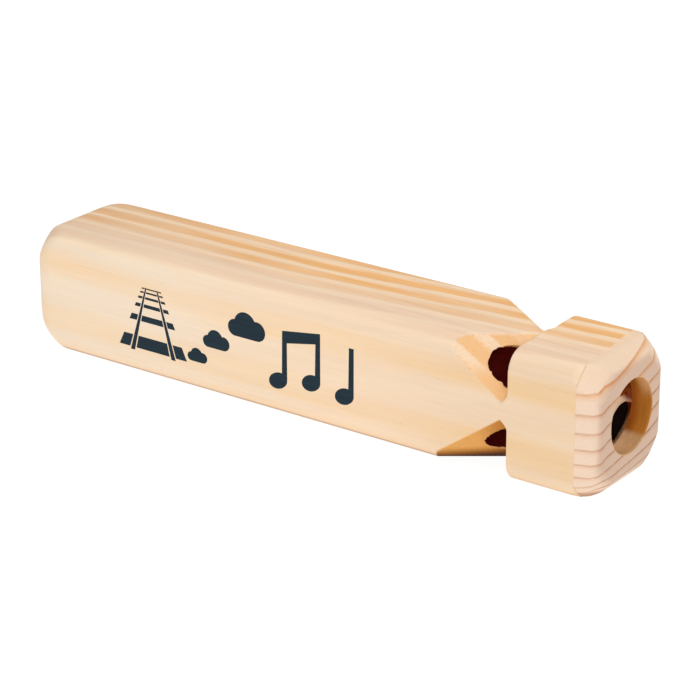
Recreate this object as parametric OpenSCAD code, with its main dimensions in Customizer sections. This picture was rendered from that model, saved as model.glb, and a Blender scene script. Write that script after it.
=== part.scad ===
// Wooden train whistle: four stopped pipes bored side by side in one square pine block,
// sounded together through one mouth hole. The mouth end points to +X and the block lies
// on the plane z = 0, with the origin under its middle.

/* [Block] */
// Side of the square block
block_w = 38; // [34:0.5:50]
// Length over everything, from the closed end to the mouth end
total_len = 197; // [185:1:260]
// Rounding of the four long edges
edge_r = 6; // [2:0.5:8]
// Rounding of the closed end's edges
far_end_r = 10; // [4:0.5:12]
// Turned rounding that blunts the closed end's corners
far_corner_r = 16; // [8:0.5:18]
// Rounding of the mouth end's edges
mouth_end_r = 6; // [3:0.5:7]
// Turned rounding that blunts the mouth end's corners
mouth_corner_r = 12; // [6:0.5:14]

/* [Mouthpiece cap] */
// Thickness of the slice glued over the bored end
cap_t = 6.2; // [4:0.1:12]
// How far the mouth hole laps over each pipe, along the diagonal
mouth_lap = 5.2; // [3:0.1:6]
// How far the mouth drill runs on into the block
mouth_sink = 0.8; // [0.2:0.1:2]

/* [Pipes] */
// Diameter of each pipe bore
pipe_d = 12.8; // [10:0.1:13.5]
// Wood between a pipe and the block's side, before the pattern is moved
pipe_wall = 4.4; // [3:0.1:4.6]
// Wood between two pipes that lie side by side, before the pattern is moved
pipe_gap = 3.6; // [2:0.1:6]
// Height of the mouth hole, the pipes and the windows above the middle of the block
drill_rise = 1; // [-1.5:0.1:1.5]
// How far the pipes lie off the middle towards the front
drill_shift = 0.7; // [-1:0.1:1]
// How far each drilled pipe wandered upwards: front upper, front lower, back lower, back upper
pipe_drift = [0, 0.3, 1.1, 0.2]; // [0:0.1:1.5]
// Pitch of the lowest note in hertz
note_1 = 587; // [560:1:1200]
// Pitch of the second note in hertz
note_2 = 659; // [560:1:1200]
// Pitch of the third note in hertz
note_3 = 784; // [560:1:1200]
// Pitch of the highest note in hertz
note_4 = 988; // [560:1:1200]

/* [Windows] */
// Length of the mouth block between the window walls and the cap
mouth_block_len = 21.2; // [18:0.1:30]
// Slope of the window ramps against the pipes, in degrees
ramp_angle = 27; // [22:0.5:35]
// Wood left on each side of the block between the roots of two windows
window_neck = 5.3; // [5:0.1:8]
// Extra depth of each hand-cut window: front upper, front lower, back lower, back upper
window_deeper = [0, 0.7, 0.9, 2.2]; // [0:0.1:2.5]
// Length of the small bevel between a ramp's root and the window wall
toe_len = 1.7; // [0.5:0.1:3]
// Rise of that bevel, along the diagonal
toe_rise = 1.5; // [0.5:0.1:3]

/* [Plugs] */
// Length of each fipple plug
plug_len = 14; // [8:0.1:17]
// Height of the windway left above the plug's flat
windway_h = 1.6; // [1:0.1:3]
// Glue gap round the plug
plug_fit = 0.05; // [0.02:0.01:0.2]

/* [Hidden] */
$fn = 64;

// Speed of sound in millimetres a second
sound_speed = 343000;
// Length that the open window adds to a pipe when it sounds
window_end_correction = 8;
// Overrun of cutting shapes past the faces that they open
cut = 1;
// Room between the turned corner shape and the straight long edges
turn_clear = 0.4;
// Reach of the turned corner shape past the block's ends
turn_out = 0.6;

far_x = -total_len / 2;
mouth_x = total_len / 2;
joint_x = mouth_x - cap_t;
wall_x = joint_x - mouth_block_len;
root_x = wall_x - toe_len;

mid_z = block_w / 2;
drill_z = mid_z + drill_rise;
turn_r = sqrt(2) * (block_w / 2 - edge_r) + edge_r + turn_clear;

pipe_r = pipe_d / 2;
// Room for one pipe between the wood at its side and the wood in the middle
pipe_room = block_w / 2 - pipe_wall - pipe_gap / 2;
// Half the distance between two pipes that lie side by side, each centred in its room
pipe_half = (pipe_gap + pipe_room) / 2;
mouth_r = sqrt(2) * pipe_half - pipe_r + mouth_lap;
// Distance of a ramp's root from the drilled axis, along the block's diagonal
window_root = (block_w + window_neck) / 2 / sqrt(2);

notes = [note_1, note_2, note_3, note_4];
// Turn from the top to each pipe's corner: front upper, front lower, back lower, back upper
corner_turns = [45, 135, 225, 315];
// Side of each pipe along y and z, in the same order
corner_sides = [[-1, 1], [-1, -1], [1, -1], [1, 1]];

// A pipe stopped at one end sounds at a quarter of the wavelength
function pipe_len(note) = sound_speed / (4 * note) - window_end_correction;

// Square outline with round corners, centred on the origin
module rounded_square(side, r) {
    square([side, side - 2 * r], center = true);
    square([side - 2 * r, side], center = true);
    for (sx = [-1, 1], sy = [-1, 1])
        translate([sx * (side / 2 - r), sy * (side / 2 - r)])
            circle(r = r);
}

// Outline along the block, with its own corner rounding at each end
module long_outline() {
    half = block_w / 2;
    translate([far_x + far_end_r, -half])
        square([total_len - far_end_r - mouth_end_r, block_w]);
    translate([far_x, far_end_r - half])
        square([far_end_r + cut, block_w - 2 * far_end_r]);
    translate([mouth_x - mouth_end_r - cut, mouth_end_r - half])
        square([mouth_end_r + cut, block_w - 2 * mouth_end_r]);
    for (s = [-1, 1]) {
        translate([far_x + far_end_r, s * (half - far_end_r)])
            circle(r = far_end_r);
        translate([mouth_x - mouth_end_r, s * (half - mouth_end_r)])
            circle(r = mouth_end_r);
    }
}

// Half outline of the turned shape, radius along x and length along y
module turned_outline() {
    low = far_x - turn_out;
    high = mouth_x + turn_out;
    intersection() {
        union() {
            translate([0, low + far_corner_r])
                square([turn_r, high - low - far_corner_r - mouth_corner_r]);
            translate([0, low])
                square([turn_r - far_corner_r, far_corner_r + cut]);
            translate([0, high - mouth_corner_r - cut])
                square([turn_r - mouth_corner_r, mouth_corner_r + cut]);
            translate([turn_r - far_corner_r, low + far_corner_r])
                circle(r = far_corner_r);
            translate([turn_r - mouth_corner_r, high - mouth_corner_r])
                circle(r = mouth_corner_r);
        }
        translate([0, low - cut])
            square([turn_r + cut, high - low + 2 * cut]);
    }
}

// The whole block as it is sanded with the cap glued on
module sanded_block() {
    translate([0, 0, mid_z])
        intersection() {
            translate([far_x, 0, 0])
                rotate([90, 0, 90])
                    linear_extrude(height = total_len)
                        rounded_square(block_w, edge_r);
            linear_extrude(height = block_w, center = true)
                long_outline();
            rotate([90, 0, 0])
                linear_extrude(height = block_w, center = true)
                    long_outline();
            rotate([0, 90, 0])
                rotate_extrude()
                    turned_outline();
        }
}

// Slab that takes in the block's whole section between two stations along x
module slab(x0, x1) {
    translate([x0, -block_w, -block_w / 2])
        cube([x1 - x0, 2 * block_w, 2 * block_w]);
}

// Places its children on the drilled axis, with one corner of the block upwards
module at_corner(i) {
    translate([0, 0, drill_z])
        rotate([corner_turns[i], 0, 0])
            children();
}

// Places its children on one pipe's axis, with the pipe's corner of the block upwards
module at_pipe(i) {
    side = corner_sides[i];
    pipe_y = side[0] * pipe_half - drill_shift;
    pipe_z = drill_z + side[1] * pipe_half + pipe_drift[i];
    translate([0, pipe_y, pipe_z])
        rotate([corner_turns[i], 0, 0])
            children();
}

// Blind bore of one pipe, open at the glue joint
module pipe_bore(i) {
    closed_x = wall_x - pipe_len(notes[i]);
    at_pipe(i)
        translate([closed_x, 0, 0])
            rotate([0, 90, 0])
                cylinder(h = joint_x + cut - closed_x, r = pipe_r);
}

// Hole that the player blows into, through the cap and a little into the block
module mouth_hole() {
    translate([joint_x - mouth_sink, 0, drill_z])
        rotate([0, 90, 0])
            cylinder(h = mouth_sink + cap_t + cut, r = mouth_r);
}

// Wedge that opens one window: ramp, small bevel at its root, and square wall
module window_cut(i) {
    root = window_root - window_deeper[i];
    out = block_w;
    at_corner(i)
        rotate([90, 0, 0])
            linear_extrude(height = 2 * block_w, center = true)
                polygon([
                    [root_x - (out - root) / tan(ramp_angle), out],
                    [root_x, root],
                    [wall_x, root + toe_rise],
                    [wall_x, out]
                ]);
}

// Pine block with its four pipes, its four corner windows and the end of the mouth hole
module body_block() {
    color("burlywood")
        difference() {
            intersection() {
                sanded_block();
                slab(far_x - cut, joint_x);
            }
            mouth_hole();
            for (i = [0 : 3]) {
                pipe_bore(i);
                window_cut(i);
            }
        }
}

// Slice of paler wood over the bored end, with the mouth hole through it
module mouthpiece_cap() {
    color("bisque")
        difference() {
            intersection() {
                sanded_block();
                slab(joint_x, mouth_x + cut);
            }
            mouth_hole();
        }
}

// Dowel that closes a pipe behind its window, with a flat that leaves the windway
module fipple_plug(i) {
    color("tan")
        at_pipe(i)
            translate([wall_x, 0, 0])
                difference() {
                    rotate([0, 90, 0])
                        cylinder(h = plug_len, r = pipe_r - plug_fit);
                    translate([-cut, -pipe_d, pipe_r - windway_h])
                        cube([plug_len + 2 * cut, 2 * pipe_d, pipe_d]);
                }
}

body_block();
mouthpiece_cap();
fipple_plug(0);  // fipple_plug_1
fipple_plug(1);  // fipple_plug_2
fipple_plug(2);  // fipple_plug_3
fipple_plug(3);  // fipple_plug_4
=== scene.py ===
"""Looks of a wooden train whistle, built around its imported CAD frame.

The block, the end cap and the plugs are fine meshes made from the CAD solids, with edges
softened as sanding leaves them and torn fibres where the drill met the window ramps. The
wood is solid procedural pine, so that each growth ring runs on from face to face. Scene
lengths are in metres. Lengths inside the materials and the print are in millimetres.
"""

import math
from functools import reduce

import bmesh
import bpy
import numpy as np
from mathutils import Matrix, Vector


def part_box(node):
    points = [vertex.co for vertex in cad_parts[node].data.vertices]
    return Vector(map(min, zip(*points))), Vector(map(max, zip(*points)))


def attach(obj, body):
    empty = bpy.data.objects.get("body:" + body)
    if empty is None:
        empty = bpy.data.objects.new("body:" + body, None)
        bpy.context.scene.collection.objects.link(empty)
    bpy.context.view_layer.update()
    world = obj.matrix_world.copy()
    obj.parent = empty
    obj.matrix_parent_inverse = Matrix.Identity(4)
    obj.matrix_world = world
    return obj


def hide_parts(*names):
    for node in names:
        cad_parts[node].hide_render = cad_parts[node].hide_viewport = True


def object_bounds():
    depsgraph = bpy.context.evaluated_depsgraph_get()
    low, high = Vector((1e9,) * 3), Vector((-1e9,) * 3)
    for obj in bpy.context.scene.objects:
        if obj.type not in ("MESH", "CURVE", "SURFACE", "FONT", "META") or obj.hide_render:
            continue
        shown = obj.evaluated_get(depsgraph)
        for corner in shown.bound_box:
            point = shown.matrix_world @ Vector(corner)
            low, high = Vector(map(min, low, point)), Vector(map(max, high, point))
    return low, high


MM = 0.001

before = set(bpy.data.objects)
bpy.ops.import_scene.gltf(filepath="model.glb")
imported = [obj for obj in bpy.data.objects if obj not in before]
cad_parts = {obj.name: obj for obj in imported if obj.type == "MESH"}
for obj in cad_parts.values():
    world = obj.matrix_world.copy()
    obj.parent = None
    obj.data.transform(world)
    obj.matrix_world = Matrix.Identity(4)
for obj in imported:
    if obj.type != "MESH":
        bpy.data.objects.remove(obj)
cad_lo, cad_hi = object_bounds()
scene = bpy.context.scene

# Measures read from the frame
PLUG_NODES = [f"fipple_plug_{i}" for i in (1, 2, 3, 4)]
plug_boxes = [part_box(name) for name in PLUG_NODES]
pipe_axes = [((lo.y + hi.y) / 2, (lo.z + hi.z) / 2) for lo, hi in plug_boxes]
pipe_r = (plug_boxes[0][1].y - plug_boxes[0][0].y) / 2
# The windows' upright wall, the joint between block and cap, the mouth end and the front face
wall_x = plug_boxes[0][0].x
joint_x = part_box("body_block")[1].x
mouth_x = cad_hi.x
front_y = cad_lo.y
# Sides of the block's corners along y and z, in the order of the plugs
CORNERS = ((-1, 1), (-1, -1), (1, -1), (1, 1))
# How far a window ramp runs from the wall at most, and its normal: the part along x, and the
# least part along y and z
RAMP_REACH = 25 * MM
RAMP_NORMAL_X = (0.3, 0.6)
RAMP_NORMAL_SIDE = 0.5

# Voxels of the fine meshes, and the share of the block's triangles that is kept
BLOCK_VOXEL = 0.42 * MM
CAP_VOXEL = 0.3 * MM
PLUG_VOXEL = 0.35 * MM
BLOCK_SHARE = 0.3
# Vertices this near to each other are one, and a vertex this near to a plane lies on it
WELD = 0.001 * MM
ON_PLANE = 0.01 * MM
# Spare length past a glued face, which is cut off after the edges are softened
JOINT_SPARE = 2 * MM

# Depth of the sanding, which leaves the vertices this near to the joint on its plane, and the
# waves that make it uneven on the block
SKIN = 0.05 * MM
JOINT_BAND = 0.02 * MM
SKIN_WAVES = (60 * MM, 14 * MM, 14 * MM)
SKIN_UNEVEN = 0.3
# Rounding of the block's long edges, and of the lower and the upper ramps' long edges, which
# ends this far before the wall
EDGE_R = 6.0 * MM
LOW_EDGE_R = 8.5 * MM
HIGH_EDGE_R = 2.5 * MM
EDGE_STOP = 0.3 * MM
# Where the softening of the closed end begins and is full, from the middle
FAR_END_SOFT = (82 * MM, 90 * MM)
# Foot of the back upper window, which shows in outline, and how far around it is softened
BACK_NOTCH = np.array((70.0, 1.5, 37.5)) * MM
NOTCH_REACH = 4 * MM
# Flats that hand sanding left on the cap's upright front edge: from one corner to the next,
# each as a distance from the mouth end and from the front face
CAP_FLATS = np.array(((-6.2, 0.0), (-1.75, 1.77), (-0.15, 4.7))) * MM
# Back corners of the cap that were sanded more: the way each faces, and the depth. The sanding
# reaches this far around them and dies out towards the joint.
CAP_CORNERS = (((0.78, 0.29, -0.56), 0.35 * MM), ((0.26, 0.58, 0.77), 0.45 * MM))
CAP_CORNER_REACH = 3.5 * MM
CAP_CORNER_END = (0.5 * MM, 4 * MM)
# Torn edges of the windows' holes: depth, length, the band at the edge from full to none, and
# how far before the wall they end
TEAR_DEPTH = 0.22 * MM
TEAR_LENGTH = 1.2 * MM
TEAR_BAND = (0.2 * MM, 0.9 * MM)
TEAR_STOP = 0.5 * MM
# How much wider each window's hole was worn, in the order of the corners
HOLE_WEAR = np.array((0.6, 0.0, 0.0, 0.0)) * MM
# A splinter left at the lower side of the front upper window
SPLINTER = np.array((67.3, -15.4, 27.1)) * MM
SPLINTER_SIZE = 0.8 * MM

# Where the looks of the windows begin and are full along x, and where they end past the wall
WINDOWS_FROM = (15 * MM, 25 * MM)
WINDOWS_PAST = 4 * MM
# Depth under the block's long sides at which a surface begins to look sawn, and fully does
SAWN_DEPTH = (0.15 * MM, 0.6 * MM)
# Vertices within a pipe's radius and this much more are drilled, except in the closed end
PIPE_SKIN = 0.25 * MM
CLOSED_END = 20 * MM
# Painted shade on one side of the mouth hole's end in the block: the hole's depth there, the wood
# around it that stays unshaded, and the slanting line where the painted shade begins
MOUTH_DEPTH = 2 * MM
MOUTH_MARGIN = 7 * MM
MOUTH_SHADE_SLANT = 1.2
MOUTH_SHADE_Z = 20.7 * MM
MOUTH_SHADE_EDGE = (6.6 * MM, 9.8 * MM)
# Circle around the pipes that holds the mouth hole's rim and nothing of the cap's outer edge
MOUTH_RIM_R = 11.8 * MM
# Distance from the mouth hole's wall over which its painted light and shade fade, from full to none
MOUTH_TONE = (0.15 * MM, 0.5 * MM)
# Direction from the mouth hole's axis to the middle of its floor, where light is painted, along y
# and z
FLOOR_SIDE = np.array((-0.57, -0.82))


def ramp_planes():
    """Outward normal and one point of each window ramp, by the sides of its corner."""
    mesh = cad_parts["body_block"].data
    planes = {}
    for face in mesh.polygons:
        normal = np.array(face.normal)
        beside_wall = wall_x - RAMP_REACH < face.center.x < wall_x
        leaning = RAMP_NORMAL_X[0] < normal[0] < RAMP_NORMAL_X[1]
        if beside_wall and leaning and min(abs(normal[1:])) > RAMP_NORMAL_SIDE:
            corner = tuple(int(side) for side in np.sign(normal[1:]))
            planes[corner] = normal, np.array(mesh.vertices[face.vertices[0]].co)
    return planes


ramps = ramp_planes()


# Materials

def srgb(red, green, blue):
    """A colour of 8-bit sRGB values as Blender's linear RGBA."""
    values = [c / 255 for c in (red, green, blue)]
    linear = [c / 12.92 if c <= 0.04045 else ((c + 0.055) / 1.055) ** 2.4 for c in values]
    return (*linear, 1.0)


WHITE = (1.0, 1.0, 1.0, 1.0)
WOOD_SPECULAR = 0.3
INK_SPECULAR = 0.2

# Growth rings of the block: the heart of the tree lies above and behind it. The rings' width
# and the radius of one, their sway, and how ragged they are as a share of the width.
HEART_Y = 67.0
HEART_Z = 70.0
RING_WIDTH = 6.3
RING_EDGE = 71.5
RING_SWAY = 2.4
RING_RAGGED = 0.3
# The grain runs out towards the back from here to the mouth end
GRAIN_TURN_X = -8.0
GRAIN_SLOPE = 0.1
# A ring's dark share ends over this last part of its season
RING_END = (0.94, 1.0)
# Where the front face turns into the top, along y
FRONT_TURN = (-17.8, -15.2)
# Height of one broad warm band on the front face, the step to the next, and their sway
FRONT_BAND_Z = 28.5
FRONT_BAND_STEP = 17.0
FRONT_BAND_SWAY = 7.0
# On the ramps the rings lie as nearly upright layers: their lean, width and one ring's edge
RAMP_RING_LEAN = 0.12
RAMP_RING_WIDTH = 6.2
RAMP_RING_EDGE = 12.5
# Where the painted deep shade in the lower pipes begins along x, and how it leans above a height
DEEP_SHADE_EDGE = 87.9
DEEP_SHADE_LEAN = 0.24
DEEP_SHADE_LEAN_Z = 8.0

# Growth rings of the cap: level on its upright front edge, this far in front of the middle
CAP_LEVEL_Y = 15.2
# Behind that they turn up over a short way, and then rise ever more steeply
CAP_TURN = 2.2
CAP_TURN_TILT = 0.41
CAP_RING_TILT = 0.2
CAP_RING_BEND = 0.0018
# On the top they slant
CAP_TOP_SLANT = 0.37
# Height of ring 0, and how the height grows with the number and with its square
CAP_RING_BASE = 4.7
CAP_RING_FIRST = 2.8
CAP_RING_GROWTH = 0.27
CAP_RING_SWAY = 0.8


class Shader:
    """One material, with short calls that add nodes to it."""

    def __init__(self, name):
        self.material = bpy.data.materials.new(name)
        self.material.use_nodes = True
        self.tree = self.material.node_tree
        self.bsdf = self.tree.nodes["Principled BSDF"]

    def put(self, socket, value):
        """Links an output to an input, or sets the input to a constant."""
        if isinstance(value, bpy.types.NodeSocket):
            self.tree.links.new(value, socket)
        else:
            socket.default_value = value

    def surface(self, name, value):
        """Gives the surface shader one of its inputs."""
        self.put(self.bsdf.inputs[name], value)

    def add(self, kind, values, **settings):
        """A new node with these inputs and settings."""
        node = self.tree.nodes.new(kind)
        for key, value in settings.items():
            setattr(node, key, value)
        for key, value in values.items():
            self.put(node.inputs[key], value)
        return node

    def math(self, operation, *values):
        """The result of one operation on the values."""
        node = self.add("ShaderNodeMath", dict(enumerate(values)), operation=operation)
        return node.outputs[0]

    def times(self, *values):
        """The product of the values."""
        return reduce(lambda one, other: self.math("MULTIPLY", one, other), values)

    def most(self, *values):
        """The greatest of the values."""
        return reduce(lambda one, other: self.math("MAXIMUM", one, other), values)

    def span(self, value, low, high, to_low=0.0, to_high=1.0):
        """The value from low to high, carried smoothly to to_low to to_high and held outside."""
        inputs = {0: value, 1: low, 2: high, 3: to_low, 4: to_high}
        return self.add("ShaderNodeMapRange", inputs, interpolation_type="SMOOTHSTEP").outputs[0]

    def hump(self, value, start, full, wane, end):
        """0 up to start, 1 from full to wane, and 0 again from end."""
        return self.times(self.span(value, start, full), self.span(value, wane, end, 1.0, 0.0))

    def sway(self, value, noise, amount):
        """The value moved up and down by the noise, with this amount between the extremes."""
        return self.math("MULTIPLY_ADD", noise, amount, self.math("SUBTRACT", value, amount / 2))

    def mix(self, factor, first, second, blend="MIX"):
        """The first colour at factor 0, the second one blended in at factor 1."""
        inputs = {0: factor, 6: first, 7: second}
        node = self.add("ShaderNodeMix", inputs, data_type="RGBA", blend_type=blend)
        return node.outputs[2]

    def tint(self, colour, other):
        """One colour multiplied by another."""
        return self.mix(1.0, colour, other, "MULTIPLY")

    def grey(self, value):
        """The value as a colour."""
        return self.add("ShaderNodeCombineColor", {0: value, 1: value, 2: value}).outputs[0]

    def scaled(self, vector, factors):
        """The vector with each part multiplied by its factor."""
        inputs = {0: vector, 1: factors}
        return self.add("ShaderNodeVectorMath", inputs, operation="MULTIPLY").outputs[0]

    def read_place(self):
        """Reads the point on the object in millimetres: the vector, and its x, y and z."""
        metres = self.add("ShaderNodeTexCoord", {}).outputs["Object"]
        self.point = self.scaled(metres, (1 / MM,) * 3)
        self.x, self.y, self.z = self.add("ShaderNodeSeparateXYZ", {0: self.point}).outputs

    def noise(self, size, detail=2.0, roughness=0.5):
        """Noise from 0 to 1 whose features are size = (x, y, z) millimetres long."""
        stretched = self.scaled(self.point, tuple(1 / length for length in size))
        inputs = {"Vector": stretched, "Scale": 1.0, "Detail": detail, "Roughness": roughness}
        return self.add("ShaderNodeTexNoise", inputs).outputs[0]

    def mask(self, name):
        """A mask that the mesh carries."""
        return self.add("ShaderNodeAttribute", {}, attribute_name=name).outputs["Fac"]

    def glue_line(self, colour):
        """The colour with a thin darker line where the cap meets the block."""
        gap = self.math("ABSOLUTE", self.math("SUBTRACT", self.x, joint_x / MM))
        return self.mix(self.span(gap, 0.05, 0.35, 0.08, 0.0), colour, srgb(206, 160, 112))

    def painted_low_shade(self, colour, warmth, strength):
        """The colour with painted shade: warmer and then browner towards the underside."""
        warm = self.span(self.z, 1.5, 6.0, warmth, 0.0)
        brown = self.times(self.span(self.z, 1.2, 2.7, 1.0, 0.0), strength)
        colour = self.mix(warm, colour, srgb(240, 190, 130))
        return self.mix(brown, colour, srgb(164, 104, 60))

    def bump(self, height, depth_mm):
        """Gives the surface fine relief."""
        inputs = {"Height": height, "Distance": depth_mm * MM, "Strength": 1.0}
        self.surface("Normal", self.add("ShaderNodeBump", inputs).outputs[0])


def fibres(shader):
    """Fine streaks along the grain, from 0 to 1: broad and thin ones together, and thin ones."""
    broad = shader.noise((45.0, 1.6, 1.6), detail=3.0)
    thin = shader.noise((14.0, 0.32, 0.32))
    return shader.math("MULTIPLY_ADD", thin, 0.5, shader.times(broad, 0.5)), thin


def block_rings(shader, drift, wander):
    """Each growth ring's dark late share, and its cream start."""
    across = shader.math("SUBTRACT", HEART_Y, shader.math("SUBTRACT", shader.y, drift))
    across = shader.sway(across, wander, RING_SWAY)
    down = shader.math("SUBTRACT", HEART_Z, shader.z)
    squares = shader.math("MULTIPLY_ADD", across, across, shader.times(down, down))
    radius = shader.math("SQRT", squares)
    turns = shader.math("DIVIDE", shader.math("SUBTRACT", radius, RING_EDGE), RING_WIDTH)
    turns = shader.sway(turns, shader.noise((22.0, 2.2, 2.2), detail=3.0), RING_RAGGED)
    season = shader.math("FRACT", turns)
    late = shader.hump(season, 0.14, 0.6, *RING_END)
    cream = shader.hump(season, 0.0, 0.07, 0.12, 0.5)
    return late, cream


def ring_strength(shader, fading_y):
    """How much the block's rings show: less to the front, in patches, and hardly on the front."""
    patches = shader.noise((34.0, 4.0, 4.0), detail=3.0)
    # Near the far end the middle of the top is paler
    faint = shader.times(
        shader.hump(shader.x, -88.0, -74.0, -50.0, -25.0),
        shader.span(fading_y, 1.0, 5.0, 0.45, 0.0),
    )
    # The stripes of the top end short of the joint, more so at the back
    short = shader.math("SUBTRACT", joint_x / MM, shader.x)
    short = shader.math("SUBTRACT", short, shader.span(shader.y, -10.0, 14.0, 0.0, 2.3))
    return shader.times(
        shader.span(fading_y, -12.0, 3.0, 0.45, 1.15),
        shader.span(fading_y, 7.0, 12.0, 1.0, 0.75),
        shader.span(patches, 0.25, 0.7, 0.55, 1.1),
        shader.span(shader.y, *FRONT_TURN, 0.25, 1.0),
        shader.math("SUBTRACT", 1.0, faint),
        shader.span(short, -0.3, 0.8),
    )


def front_bands(shader, wander):
    """The broad faint bands that the rings make on the front face, which cuts them flat."""
    level = shader.math("SUBTRACT", shader.sway(shader.z, wander, FRONT_BAND_SWAY), FRONT_BAND_Z)
    wave = shader.math("COSINE", shader.times(level, 2 * math.pi / FRONT_BAND_STEP))
    bands = shader.times(
        shader.span(wave, -0.5, 0.9), shader.span(shader.x, 30.0, 80.0, 0.38, 0.8)
    )
    veins = shader.noise((55.0, 2.6, 2.6), detail=3.0)
    return shader.math("MULTIPLY_ADD", shader.span(veins, 0.45, 0.75), 0.4, bands)


def planed_faces(shader, drift, wander, late, cream, streaks):
    """The colour of the block's long faces."""
    x, y = shader.x, shader.y
    front = shader.span(y, *FRONT_TURN, 1.0, 0.0)
    fading_y = shader.math("MULTIPLY_ADD", drift, -0.4, y)
    to_back = shader.span(fading_y, -13.0, 0.0)
    strength = ring_strength(shader, fading_y)
    front_tone = shader.mix(shader.span(x, -60.0, 20.0), srgb(244, 223, 197), srgb(247, 219, 188))
    top_tone = shader.mix(to_back, srgb(241, 212, 183), srgb(242, 210, 176))
    late_tone = shader.mix(shader.span(x, -90.0, 0.0), srgb(234, 181, 127), srgb(240, 182, 116))
    late_tone = shader.mix(to_back, srgb(230, 192, 158), late_tone)
    colour = shader.mix(front, top_tone, front_tone)
    colour = shader.mix(shader.times(late, strength), colour, late_tone)
    colour = shader.mix(shader.times(cream, strength, 0.5), colour, srgb(250, 221, 182))
    bands = shader.times(front_bands(shader, wander), front)
    colour = shader.mix(bands, colour, srgb(246, 207, 158))

    # Streaks show more on the top than on the front
    depth = shader.span(y, -18.0, -6.0, 0.06, 0.16)
    paleness = shader.span(streaks, 0.25, 0.75, -0.6, 0.4)
    shade = shader.math("MULTIPLY_ADD", paleness, depth, 1.0)
    colour = shader.tint(colour, shader.grey(shade))
    # Painted shade where less light falls: the front a little darker towards the mouth end, the top
    # towards the far end
    top_light_falloff = shader.grey(shader.span(x, -95.0, -30.0, 0.93, 1.0))
    front_light_falloff = shader.grey(shader.span(x, 0.0, 85.0, 1.02, 0.935))
    colour = shader.tint(colour, shader.mix(front, top_light_falloff, front_light_falloff))
    # Resin canals are short thin brown dashes
    canals = shader.noise((5.0, 0.4, 0.4), detail=1.0)
    colour = shader.mix(shader.span(canals, 0.76, 0.82, 0.0, 0.3), colour, srgb(196, 140, 92))
    # Painted shade along the lower edges
    return shader.painted_low_shade(colour, 0.4, shader.span(x, 60.0, 72.0, 0.75, 0.25))


def sawn_ramps(shader, colour, cut, tear):
    """The colour with the window ramps more orange, and torn along their rim."""
    y, z = shader.y, shader.z
    upright = shader.math("MULTIPLY_ADD", z, -RAMP_RING_LEAN, shader.times(y, -1.0))
    upright = shader.math("SUBTRACT", shader.sway(upright, tear, 2.0), RAMP_RING_EDGE)
    season = shader.math("FRACT", shader.math("DIVIDE", upright, RAMP_RING_WIDTH))
    warm = shader.most(
        shader.hump(season, 0.25, 0.5, *RING_END),
        shader.span(z, 28.0, 32.5, 1.0, 0.0),
        shader.span(y, -11.0, -6.0, 0.0, 0.65),
    )
    sawn = shader.mix(warm, srgb(246, 214, 180), srgb(241, 191, 136))
    sawn = shader.mix(shader.span(tear, 0.5, 0.75, 0.0, 0.3), sawn, srgb(222, 162, 100))
    colour = shader.mix(cut, colour, sawn)
    halfway = shader.times(cut, shader.math("SUBTRACT", 1.0, cut))
    rim = shader.times(halfway, shader.span(tear, 0.45, 0.7, 0.0, 1.5))
    return shader.mix(rim, colour, srgb(214, 146, 84))


def shaded_lower_ramps(shader, tear):
    """The ramps that look down, with painted shade that darkens towards their lower edge."""
    x = shader.x
    # Painted shade: it reaches higher near the wall, whose shadow falls there
    lit = shader.math("SUBTRACT", shader.z, shader.span(x, 46.0, 69.0, -0.4, 1.5))
    # The lit tone is darker near the wall, as painted shadow
    colour = shader.mix(shader.span(x, 60.0, 69.0), srgb(230, 168, 92), srgb(198, 134, 58))
    colour = shader.mix(shader.span(tear, 0.4, 0.75, 0.0, 0.3), colour, srgb(186, 116, 48))
    colour = shader.mix(shader.span(lit, 0.9, 6.0), srgb(62, 24, 0), colour)
    # The painted shade is more saturated in its middle
    shade_saturation = shader.mix(shader.span(lit, 2.0, 6.0), srgb(255, 225, 137), WHITE)
    return shader.tint(colour, shade_saturation)


def drilled_walls(shader, colour):
    """The pipes' painted shade: dark red at the windows, and behind the mouth brown before black
    shade.
    """
    x, z = shader.x, shader.z
    behind = shader.span(x, 74.0, 82.0)
    upper = shader.span(z, 17.5, 19.5)
    # Painted light on the pipes' lower walls behind the mouth, and painted shade higher up
    brown = shader.mix(shader.span(z, 9.0, 15.5), srgb(255, 222, 172), srgb(170, 72, 10))
    brown = shader.mix(upper, brown, srgb(186, 92, 18))
    # Painted shade: dark red inside the holes at the windows
    drilled = shader.mix(behind, shader.tint(colour, srgb(146, 40, 34)), brown)
    height = shader.most(shader.math("SUBTRACT", z, DEEP_SHADE_LEAN_Z), 0.0)
    inward = shader.math("MULTIPLY_ADD", height, -DEEP_SHADE_LEAN, x)
    # Near-black painted shade deep in the lower pipes
    deep_shade = shader.times(
        shader.span(inward, DEEP_SHADE_EDGE - 0.3, DEEP_SHADE_EDGE + 0.4, 1.0, 0.0),
        shader.math("SUBTRACT", behind, upper),
    )
    return shader.mix(deep_shade, drilled, srgb(30, 14, 8))


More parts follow.
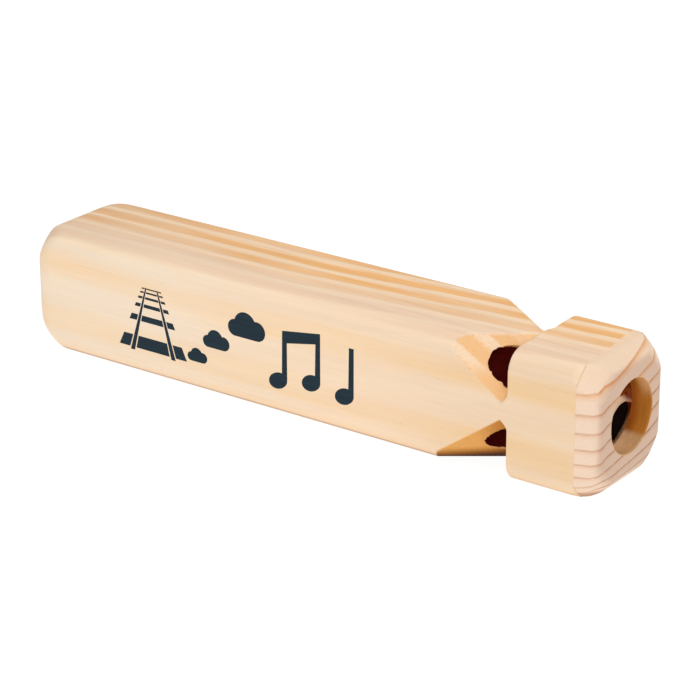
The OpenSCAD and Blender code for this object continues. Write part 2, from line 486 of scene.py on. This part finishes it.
def block_wood():
    """Pine with long grain, sawn ramps and drilled pipes."""
    shader = Shader("block_wood")
    shader.read_place()
    cut = shader.mask("cut")
    bore = shader.mask("bore")
    under = shader.mask("under")
    past_turn = shader.math("SUBTRACT", shader.x, GRAIN_TURN_X)
    drift = shader.math("SMOOTH_MAX", shader.times(past_turn, GRAIN_SLOPE), 0.0, 2.0)
    wander = shader.noise((70.0, 16.0, 16.0))
    tear = shader.noise((2.2, 0.5, 0.5), detail=4.0, roughness=0.65)
    late, cream = block_rings(shader, drift, wander)
    streaks, hairs = fibres(shader)

    colour = planed_faces(shader, drift, wander, late, cream, streaks)
    colour = sawn_ramps(shader, colour, cut, tear)
    # Painted shade on the ramps that look down
    colour = shader.mix(under, colour, shaded_lower_ramps(shader, tear))
    # Painted shade on the back side of the mouth hole's end, between the back pipes
    colour = shader.mix(shader.mask("mouth_shade"), colour, srgb(122, 46, 0))
    # The pipes get painted light and shade
    colour = shader.mix(bore, colour, drilled_walls(shader, colour))
    shader.surface("Base Color", shader.glue_line(colour))

    planed_rough = shader.span(streaks, 0.2, 0.8, 0.45, 0.58)
    rough = shader.most(planed_rough, shader.times(cut, 0.75), shader.times(bore, 0.85), under)
    shader.surface("Roughness", rough)
    shader.surface("Specular IOR Level", WOOD_SPECULAR)
    relief = shader.math("MULTIPLY_ADD", late, 0.35, shader.times(hairs, 0.5))
    relief = shader.math("MULTIPLY_ADD", shader.times(tear, 3.0), cut, relief)
    shader.bump(relief, 0.05)
    return shader.material


def cap_rings(shader):
    """Each growth ring's thin dark line, and the soft shade that leads to it."""
    z = shader.z
    past = shader.most(shader.math("ADD", shader.y, CAP_LEVEL_Y), 0.0)
    turn = shader.times(shader.math("MINIMUM", past, CAP_TURN), CAP_TURN_TILT)
    tilt = shader.math("MULTIPLY_ADD", past, CAP_RING_BEND, CAP_RING_TILT)
    rise = shader.times(tilt, past, shader.span(z, 4.0, 22.0, 0.4, 1.0))
    layer = shader.math("SUBTRACT", z, shader.math("ADD", rise, turn))
    from_mouth = shader.math("SUBTRACT", mouth_x / MM, shader.x)
    slant = shader.times(from_mouth, shader.span(z, 33.0, 37.0, 0.0, CAP_TOP_SLANT))
    layer = shader.math("ADD", layer, slant)
    layer = shader.sway(layer, shader.noise((40.0, 18.0, 12.0)), CAP_RING_SWAY)
    # The ring's number n, from layer = base + first * n + growth * n * n
    above_base = shader.math("SUBTRACT", layer, CAP_RING_BASE)
    squared = shader.math("MULTIPLY_ADD", above_base, 4 * CAP_RING_GROWTH, CAP_RING_FIRST**2)
    root = shader.math("SQRT", shader.most(squared, 0.0))
    number = shader.math("SUBTRACT", root, CAP_RING_FIRST)
    number = shader.math("DIVIDE", number, 2 * CAP_RING_GROWTH)
    season = shader.math("FRACT", shader.math("ADD", number, 0.5))
    below_top = shader.span(layer, 33.5, 35.5, 1.0, 0.0)
    line = shader.times(shader.hump(season, 0.36, 0.48, 0.5, 0.57), below_top)
    shade = shader.times(shader.hump(season, 0.1, 0.48, 0.5, 0.56), below_top)
    return line, shade


def mouth_wall(shader):
    """The mouth hole's wall in painted light and shade: darkest by the block, paler at top and
    floor.
    """
    x = shader.x
    colour = shader.mix(shader.span(x, 92.5, 95.5), srgb(172, 90, 10), srgb(192, 122, 38))
    pale = shader.times(shader.span(shader.z, 20.5, 26.0), shader.span(x, 94.0, 96.5))
    colour = shader.mix(pale, colour, srgb(226, 172, 116))
    floor_tone = shader.mix(shader.span(x, 92.5, 97.5), srgb(236, 194, 146), srgb(204, 160, 110))
    colour = shader.mix(shader.mask("floor"), colour, floor_tone)
    turned = shader.noise((0.8, 5.0, 5.0), detail=3.0)
    return shader.tint(colour, shader.grey(shader.span(turned, 0.3, 0.7, 0.88, 1.04)))


def cap_wood():
    """Paler pine, whose rings show as thin dark lines."""
    shader = Shader("cap_wood")
    shader.read_place()
    y, z = shader.y, shader.z
    bore = shader.mask("bore")
    upper = shader.span(z, 24.0, 30.0)
    line, shade = cap_rings(shader)

    # The cut across the fibres drinks more finish and is darker than the sides
    plain = shader.mix(shader.span(z, 31.0, 36.5), srgb(240, 211, 186), srgb(238, 209, 180))
    plain = shader.mix(shader.mask("end"), plain, srgb(214, 181, 156))
    shade_tint = shader.mix(upper, srgb(244, 224, 206), srgb(250, 216, 178))
    colour = shader.mix(shader.times(shade, 0.6), plain, shader.tint(plain, shade_tint))
    # The lines are broken, and fainter on the top and on the upright front edge
    broken = shader.noise((2.0, 2.0, 0.8), detail=3.0)
    strength = shader.times(
        shader.span(broken, 0.3, 0.7, 0.55, 1.0),
        shader.span(z, 34.5, 37.5, 1.0, 0.5),
        shader.span(y, -16.5, -14.0, 0.4, 1.0),
    )
    line_tone = shader.mix(shader.span(y, -4.0, 10.0), srgb(178, 116, 76), srgb(150, 92, 60))
    line_tone = shader.mix(upper, line_tone, srgb(206, 136, 78))
    colour = shader.mix(shader.times(line, strength), colour, line_tone)
    speck = shader.noise((0.5, 0.5, 0.5), detail=3.0)
    colour = shader.tint(colour, shader.grey(shader.span(speck, 0.25, 0.75, 0.96, 1.02)))
    # Painted shade along the lower edges
    colour = shader.painted_low_shade(colour, 0.1, 0.7)
    # The mouth hole's wall gets painted light and shade
    colour = shader.mix(bore, colour, mouth_wall(shader))
    shader.surface("Base Color", shader.glue_line(colour))

    rough = shader.most(shader.span(speck, 0.2, 0.8, 0.45, 0.6), shader.times(bore, 0.75))
    shader.surface("Roughness", rough)
    shader.surface("Specular IOR Level", WOOD_SPECULAR)
    relief = shader.math("MULTIPLY_ADD", line, 0.8, shader.times(speck, 0.3))
    shader.bump(relief, 0.05)
    return shader.material


def plug_wood():
    """Darker unfinished wood."""
    shader = Shader("plug_wood")
    shader.read_place()
    grain = shader.noise((12.0, 0.7, 0.7), detail=3.0)
    colour = shader.mix(shader.span(grain, 0.3, 0.7), srgb(172, 120, 76), srgb(206, 158, 108))
    shader.surface("Base Color", colour)
    shader.surface("Roughness", shader.span(grain, 0.2, 0.8, 0.6, 0.8))
    shader.bump(grain, 0.08)
    return shader.material


def print_ink():
    """Dark blue-grey ink that the grain shows through, with a few pale specks."""
    shader = Shader("print_ink")
    shader.read_place()
    grain = shader.noise((9.0, 0.4, 0.4), detail=3.0)
    speck = shader.noise((0.7, 0.5, 0.5))
    colour = shader.mix(shader.span(grain, 0.3, 0.75), srgb(9, 31, 43), srgb(22, 47, 59))
    colour = shader.mix(shader.span(speck, 0.72, 0.8, 0.0, 0.4), colour, srgb(120, 128, 128))
    shader.surface("Base Color", colour)
    shader.surface("Roughness", shader.span(grain, 0.2, 0.8, 0.5, 0.65))
    shader.surface("Specular IOR Level", INK_SPECULAR)
    shader.bump(grain, 0.02)
    return shader.material


# Fine meshes from the CAD solids

def evaluated(piece):
    """The piece's mesh with its modifiers applied."""
    graph = bpy.context.evaluated_depsgraph_get()
    return bpy.data.meshes.new_from_object(piece.evaluated_get(graph))


def triples(items, name):
    """One row of three numbers for each item."""
    flat = np.empty(len(items) * 3, np.float32)
    items.foreach_get(name, flat)
    return flat.reshape(-1, 3).astype(float)


def points_of(mesh):
    return triples(mesh.vertices, "co")


def normals_of(mesh):
    return triples(mesh.vertex_normals, "vector")


def set_points(mesh, points):
    mesh.vertices.foreach_set("co", points.astype(np.float32).ravel())
    mesh.update()


def cut_at_joint(mesh, joint_side):
    """Cuts off what lies past the joint and closes the mesh there with a flat face."""
    shape = bmesh.new()
    shape.from_mesh(mesh)
    bmesh.ops.bisect_plane(
        shape,
        geom=[*shape.verts, *shape.edges, *shape.faces],
        plane_co=(joint_x, 0, 0),
        plane_no=(joint_side, 0, 0),
        clear_outer=True,
    )
    rim = [edge for edge in shape.edges if edge.is_boundary]
    bmesh.ops.triangle_fill(shape, edges=rim, use_beauty=True)
    shape.to_mesh(mesh)
    shape.free()


def even_mesh(node, voxel, rounds, joint_side=0):
    """The node's solid as an even fine mesh with softened edges. joint_side is 1 or -1 where
    the solid's glued face looks to +X or -X: that face stays sharp and in place."""
    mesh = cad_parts[node].data.copy()
    if joint_side:
        points = points_of(mesh)
        glued = np.abs(points[:, 0] - joint_x) < ON_PLANE
        points[glued, 0] += joint_side * JOINT_SPARE
        set_points(mesh, points)
    piece = bpy.data.objects.new(node + "_raw", mesh)
    scene.collection.objects.link(piece)
    piece.modifiers.new("Weld", "WELD").merge_threshold = WELD
    remesh = piece.modifiers.new("Remesh", "REMESH")
    remesh.mode = "VOXEL"
    remesh.voxel_size = voxel
    smooth = piece.modifiers.new("Smooth", "SMOOTH")
    smooth.factor = 0.5
    smooth.iterations = rounds
    fine = evaluated(piece)
    bpy.data.objects.remove(piece)
    if joint_side:
        cut_at_joint(fine, joint_side)
    return fine


def thinned(mesh, share):
    """The mesh with only a share of its triangles, where flat stretches don't need them."""
    piece = bpy.data.objects.new("thinning", mesh)
    scene.collection.objects.link(piece)
    piece.modifiers.new("Decimate", "DECIMATE").ratio = share
    made = evaluated(piece)
    bpy.data.objects.remove(piece)
    return made


def relax(mesh, weights, rounds):
    """Moves the vertices towards the middle of their neighbours, so that creases soften."""
    ends = np.empty(len(mesh.edges) * 2, np.int32)
    mesh.edges.foreach_get("vertices", ends)
    one, other = ends.reshape(-1, 2).T
    points = points_of(mesh)
    count = np.bincount(ends, minlength=len(points))
    for _ in range(rounds):
        for axis in range(3):
            line = points[:, axis]
            total = np.bincount(one, line[other], len(line))
            total += np.bincount(other, line[one], len(line))
            points[:, axis] = line + 0.5 * weights * (total / count - line)
    set_points(mesh, points)


def step(values, low, high):
    """Smooth step from 0 at low to 1 at high."""
    t = np.clip((values - low) / (high - low), 0, 1)
    return t * t * (3 - 2 * t)


def near(points, place, reach):
    """1 at a place, dying out around it over about this reach."""
    return np.exp(-np.sum((points - place) ** 2, axis=1) / reach**2)


def waves(points, lengths, seed, count=9):
    """Seeded band of waves from -1 to 1 with these wavelengths along x, y and z."""
    random = np.random.default_rng(seed)
    total = np.zeros(len(points))
    for _ in range(count):
        direction = random.normal(size=3)
        direction /= np.linalg.norm(direction)
        phase = random.uniform(0, 2 * math.pi)
        total += np.sin(points @ (2 * math.pi * direction / np.array(lengths)) + phase)
    return total / count


def pipe_distance(points):
    """Distance of each point from the nearest pipe's axis."""
    return np.min(
        [np.hypot(points[:, 1] - cy, points[:, 2] - cz) for cy, cz in pipe_axes], axis=0
    )


def depth_inside(points):
    """How deep each point lies under the block's long sides."""
    half = (cad_hi.z - cad_lo.z) / 2
    sides = np.abs(points[:, 1:] - (0, half)) - (half - EDGE_R)
    from_rounding = np.linalg.norm(np.maximum(sides, 0), axis=1)
    return EDGE_R - from_rounding - np.minimum(sides.max(axis=1), 0)


def sanded(mesh, depth):
    """The mesh's points sunk along their normals, with those of the joint left on its plane."""
    points = points_of(mesh)
    sunk = points - normals_of(mesh) * np.reshape(depth, (-1, 1))
    at_joint = np.abs(points[:, 0] - joint_x) <= JOINT_BAND
    sunk[at_joint, 0] = points[at_joint, 0]
    return sunk


def shave(points, place, normal):
    """The points with those beyond a plane moved back onto it."""
    normal = np.array(normal) / np.linalg.norm(normal)
    over = np.maximum((points - place) @ normal, 0)
    return points - over[:, None] * normal


def round_ramp_edge(points, corner):
    """The points with the long edge rounded between a ramp and the top or bottom face."""
    normal, place = ramps[corner]
    flat = np.array((0, 0, float(corner[1])))
    level = cad_hi.z if corner[1] > 0 else cad_lo.z
    edge_r = HIGH_EDGE_R if corner[1] > 0 else LOW_EDGE_R
    edge_y = place[1] - normal[2] * (level - place[2]) / normal[1]
    edge = np.array((place[0], edge_y, level))
    half = math.acos(normal @ flat) / 2
    middle = (normal + flat) / np.linalg.norm(normal + flat)
    centre = edge - middle * edge_r / math.cos(half)
    window = (points[:, 0] < wall_x - EDGE_STOP) & (points[:, 1] * corner[0] > 0)
    for share in (0.2, 0.4, 0.6, 0.8):
        facing = normal * (1 - share) + flat * share
        facing /= np.linalg.norm(facing)
        rounded = shave(points, centre + edge_r * facing, facing)
        points = np.where(window[:, None], rounded, points)
    return points


def tear_holes(points):
    """The points with the windows' hole edges torn along the ramps, as the drill left them."""
    moved = points.copy()
    torn = TEAR_DEPTH * waves(points, (TEAR_LENGTH,) * 3, seed=11)
    torn -= SPLINTER_SIZE * near(points, SPLINTER, SPLINTER_SIZE)
    before_wall = points[:, 0] < wall_x - TEAR_STOP
    for (cy, cz), corner, wear in zip(pipe_axes, CORNERS, HOLE_WEAR):
        normal, place = ramps[corner]
        away = points - np.array((0, cy, cz))
        away[:, 0] = 0
        distance = np.linalg.norm(away, axis=1)
        near_edge = 1 - step(np.abs(distance - pipe_r), *TEAR_BAND)
        near_ramp = 1 - step(np.abs((points - place) @ normal), *TEAR_BAND)
        outward = (torn + wear) * near_edge * near_ramp * before_wall
        along = away - (away @ normal)[:, None] * normal
        along /= np.maximum(np.linalg.norm(along, axis=1), 0.1 * MM)[:, None]
        moved += along * outward[:, None]
    return moved


def add_mask(mesh, name, values):
    layer = mesh.attributes.new(name, "FLOAT", "POINT")
    layer.data.foreach_set("value", values.astype(np.float32))


def dress(name, mesh, material, node):
    """Puts a finished mesh in the scene as the piece that stands for a CAD node."""
    mesh.materials.clear()
    mesh.materials.append(material)
    mesh.shade_smooth()
    mesh.set_sharp_from_angle(angle=math.radians(60))
    piece = bpy.data.objects.new(name, mesh)
    scene.collection.objects.link(piece)
    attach(piece, "root")
    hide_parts(node)
    return piece


def add_block_masks(mesh):
    """Marks the sawn ramps, the drilled walls, and the painted shade of down-facing ramps and mouth
    end.
    """
    points, normals = points_of(mesh), normals_of(mesh)
    x, y, z = points.T
    depth = depth_inside(points)
    near_windows = step(x, *WINDOWS_FROM) * (x < wall_x + WINDOWS_PAST)
    add_mask(mesh, "cut", step(depth, *SAWN_DEPTH) * near_windows)
    # Ramps that look down get painted shade
    facing_down = step(-normals[:, 2], 0.2, 0.6) * step(normals[:, 0], 0.02, 0.08)
    add_mask(mesh, "under", facing_down * near_windows)
    in_pipe = (pipe_distance(points) < pipe_r + PIPE_SKIN) & (x > cad_lo.x + CLOSED_END)
    add_mask(mesh, "bore", in_pipe.astype(float))
    # Painted shade on the back side of the mouth hole's end
    in_mouth = (x > joint_x - MOUTH_DEPTH) & (depth > MOUTH_MARGIN)
    aslant = y + MOUTH_SHADE_SLANT * (z - MOUTH_SHADE_Z)
    add_mask(mesh, "mouth_shade", in_mouth * step(aslant, *MOUTH_SHADE_EDGE))


def block_piece():
    mesh = even_mesh("body_block", BLOCK_VOXEL, rounds=4, joint_side=1)
    points = points_of(mesh)
    far_end = step(-points[:, 0], *FAR_END_SOFT)
    relax(mesh, np.maximum(far_end, near(points, BACK_NOTCH, NOTCH_REACH)), rounds=24)
    uneven = SKIN_UNEVEN * waves(points_of(mesh), SKIN_WAVES, seed=3)
    moved = tear_holes(sanded(mesh, SKIN + SKIN * uneven))
    for corner in CORNERS:
        moved = round_ramp_edge(moved, corner)
    set_points(mesh, moved)
    mesh = thinned(mesh, BLOCK_SHARE)
    add_block_masks(mesh)
    piece = dress("body_block_wood", mesh, block_wood(), "body_block")
    weighted = piece.modifiers.new("Weighted", "WEIGHTED_NORMAL")
    weighted.weight = 80
    weighted.keep_sharp = True


def mouth_middle():
    """The y and z of the mouth hole's axis."""
    rim = points_of(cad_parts["mouthpiece_cap"].data)
    rim = rim[rim[:, 0] > mouth_x - ON_PLANE][:, 1:]
    rim = rim[np.linalg.norm(rim - np.mean(pipe_axes, axis=0), axis=1) < MOUTH_RIM_R]
    return (rim.min(axis=0) + rim.max(axis=0)) / 2


def add_cap_masks(mesh):
    """Marks the mouth hole's wall and its floor for painted light and shade, and the face at the
    mouth end.
    """
    side = points_of(mesh)[:, 1:] - mouth_middle()
    from_axis = np.linalg.norm(side, axis=1)
    hole_r = from_axis.min()
    starts, ends = MOUTH_TONE
    add_mask(mesh, "bore", 1 - step(from_axis, hole_r + starts, hole_r + ends))
    side /= from_axis[:, None]
    add_mask(mesh, "floor", step(side @ FLOOR_SIDE, 0.16, 0.36))
    add_mask(mesh, "end", step(normals_of(mesh)[:, 0], 0.8, 0.97))


def cap_piece():
    mesh = even_mesh("mouthpiece_cap", CAP_VOXEL, rounds=4, joint_side=-1)
    add_cap_masks(mesh)
    moved = sanded(mesh, SKIN)
    for first, second in zip(CAP_FLATS, CAP_FLATS[1:]):
        place = (mouth_x + first[0], front_y + first[1], 0)
        facing = (second[1] - first[1], first[0] - second[0], 0)
        moved = shave(moved, place, facing)
    off_joint = step(moved[:, 0] - joint_x, *CAP_CORNER_END)
    softened = np.zeros(len(moved))
    for facing, depth in CAP_CORNERS:
        facing = np.array(facing) / np.linalg.norm(facing)
        corner = moved[np.argmax(moved @ facing)]
        softened += near(moved, corner, CAP_CORNER_REACH)
        shaved = shave(moved, corner - depth * facing, facing)
        moved = moved + (shaved - moved) * off_joint[:, None]
    set_points(mesh, moved)
    relax(mesh, np.minimum(softened, 1) * off_joint, rounds=14)
    dress("mouthpiece_cap_wood", mesh, cap_wood(), "mouthpiece_cap")


def plug_pieces():
    material = plug_wood()
    for name in PLUG_NODES:
        mesh = even_mesh(name, PLUG_VOXEL, rounds=3)
        dress(name + "_wood", mesh, material, name)


# Print on the front face: a track, steam puffs and notes, drawn in millimetres

# Depth of the ink's face and of its back behind the CAD front
INK_FACE = 0.02 * MM
INK_BACK = 0.1 * MM


def track(middle, foot, horizon, half_gauge, sleepers):
    """A straight track in perspective: two rails and sleepers that stop short of them. Depths
    count from 1 at the foot, and the horizon lies at an endless depth."""
    rail, gap, overhang = 1.5, 0.45, 4.0
    sleeper, pitch = 0.17, 0.48
    rail_start, rail_end = 0.97, 0.75 + pitch * sleepers

    def spot(across, depth):
        return middle + across / depth, horizon - (horizon - foot) / depth

    def plank(left, right, start, end):
        return [spot(left, start), spot(right, start), spot(right, end), spot(left, end)]

    shapes = []
    for side in (-1, 1):
        edges = (side * (half_gauge - rail / 2), side * (half_gauge + rail / 2))
        shapes.append(plank(*edges, rail_start, rail_end))
    inner = half_gauge - rail / 2 - gap
    outer = half_gauge + rail / 2 + gap
    for i in range(sleepers):
        start = 1 + pitch * i
        for left, right in (
            (-inner, inner),
            (-outer - overhang, -outer),
            (outer, outer + overhang),
        ):
            shapes.append(plank(left, right, start, start + sleeper))
    return shapes


def cloud(middle, size):
    """A puff of steam with a flat base: the outline round three overlapping balls."""
    steps = 120
    balls = ((-0.62, -0.1, 0.38), (-0.08, 0.12, 0.58), (0.56, -0.04, 0.44))
    base, base_left, base_right = -0.48, -0.62, 0.56
    points = []
    for i in range(steps):
        angle = 2 * math.pi * i / steps
        across, up = math.cos(angle), math.sin(angle)
        reach = 0.0
        for x, y, radius in balls:
            beside = x * up - y * across
            if abs(beside) < radius:
                reach = max(reach, x * across + y * up + math.sqrt(radius**2 - beside**2))
        if up < 0 and base_left < across * base / up < base_right:
            reach = base / up
        points.append((middle[0] + size * reach * across, middle[1] + size * reach * up))
    return points


def head_arc(middle, stem_w):
    """A note's head, clockwise from the stem's right side round to its left side, and the x of
    the right side."""
    steps = 60
    long, short, tilt = 3.3, 2.4, math.radians(22)
    ring = []
    for i in range(steps):
        angle = -2 * math.pi * i / steps
        a, b = long * math.cos(angle), short * math.sin(angle)
        across = a * math.cos(tilt) - b * math.sin(tilt)
        up = a * math.sin(tilt) + b * math.cos(tilt)
        ring.append((middle[0] + across, middle[1] + up))
    start = max(range(steps), key=lambda i: ring[i][0])
    right = ring[start][0]
    ring = ring[start:] + ring[:start]
    kept = ring[: steps // 3]
    for point in ring[steps // 3 :]:
        if point[0] > right - stem_w:
            break
        kept.append(point)
    return kept, right


def beamed_notes(first, second, top, stem_w, beam):
    """Two eighth notes joined by a slanted beam, as one outline."""
    left_arc, left_x = head_arc(first, stem_w)
    right_arc, right_x = head_arc(second, stem_w)
    rise = second[1] - first[1]
    return [
        (left_x - stem_w, top),
        (right_x, top + rise),
        *right_arc,
        (right_x - stem_w, top + rise - beam),
        (left_x, top - beam),
        *left_arc,
    ]


def single_note(middle, top, stem_w):
    """A quarter note as one outline."""
    arc, right = head_arc(middle, stem_w)
    return [(right - stem_w, top), (right, top), *arc]


def add_plate(shape, outline):
    """Adds a thin plate with this outline to the print's mesh."""
    face, back = [
        [shape.verts.new((u * MM, front_y + depth, v * MM)) for u, v in outline]
        for depth in (INK_FACE, INK_BACK)
    ]
    shape.faces.new(face)
    shape.faces.new(back)
    count = len(outline)
    for i in range(count):
        j = (i + 1) % count
        shape.faces.new((face[i], face[j], back[j], back[i]))


def print_piece():
    outlines = [
        *track(middle=-50.0, foot=9.2, horizon=36.0, half_gauge=7.4, sleepers=6),
        cloud((-33.5, 11.8), size=3.6),
        cloud((-26.5, 18.0), size=4.8),
        cloud((-15.5, 24.6), size=6.6),
        beamed_notes((-4.5, 11.4), (7.0, 13.4), top=26.8, stem_w=1.6, beam=3.4),
        single_note((18.4, 12.2), top=27.0, stem_w=1.6),
    ]
    shape = bmesh.new()
    for outline in outlines:
        add_plate(shape, outline)
    bmesh.ops.recalc_face_normals(shape, faces=shape.faces)
    mesh = bpy.data.meshes.new("front_print")
    shape.to_mesh(mesh)
    shape.free()
    mesh.materials.append(print_ink())
    piece = bpy.data.objects.new("front_print", mesh)
    scene.collection.objects.link(piece)
    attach(piece, "root")


# Stage

FLOOR_HALF = 4.0
# The point that the lights shine at
LIT_POINT = Vector((0.02, 0, 0.02))


def aim(piece, place, target):
    """Puts a light or a camera at a place, looking at a target."""
    piece.location = place
    piece.rotation_euler = (target - place).to_track_quat("-Z", "Y").to_euler()
    scene.collection.objects.link(piece)


def softbox(name, place, size, power):
    light = bpy.data.lights.new(name, "AREA")
    light.shape = "DISK"
    light.size = size
    light.energy = power
    aim(bpy.data.objects.new(name, light), Vector(place), LIT_POINT)


def pale_floor():
    shape = bmesh.new()
    bmesh.ops.create_grid(shape, x_segments=1, y_segments=1, size=FLOOR_HALF)
    mesh = bpy.data.meshes.new("floor")
    shape.to_mesh(mesh)
    shape.free()
    floor = bpy.data.objects.new("floor", mesh)
    scene.collection.objects.link(floor)
    shader = Shader("pale_floor")
    shader.surface("Base Color", (0.12, 0.12, 0.12, 1.0))
    shader.surface("Roughness", 0.9)
    shader.surface("Specular IOR Level", 0.1)
    shader.surface("Emission Color", WHITE)
    shader.surface("Emission Strength", 0.95)
    mesh.materials.append(shader.material)


def studio_light():
    world = bpy.data.worlds.new("studio")
    world.use_nodes = True
    sky = world.node_tree.nodes["Background"]
    sky.inputs["Color"].default_value = WHITE
    sky.inputs["Strength"].default_value = 0.5
    scene.world = world
    softbox("front_softbox", (-0.35, -1.2, 0.75), size=1.0, power=2.5)
    softbox("side_softbox", (0.9, -1.0, 0.65), size=0.7, power=4.0)
    softbox("top_softbox", (0.25, 0.2, 1.1), size=1.0, power=5.7)


def camera():
    """A long lens, a little above the whistle and round to its mouth end."""
    lens = bpy.data.cameras.new("camera")
    lens.sensor_width = 36.0
    lens.lens = 139.55
    viewer = bpy.data.objects.new("camera", lens)
    place = Vector((0.42246, -0.57646, 0.30522))
    target = Vector((0.01954, -0.01783, 0.02598))
    aim(viewer, place, target)
    scene.camera = viewer


scene.view_settings.view_transform = "Standard"
camera()
pale_floor()
studio_light()
block_piece()
cap_piece()
plug_pieces()
print_piece()
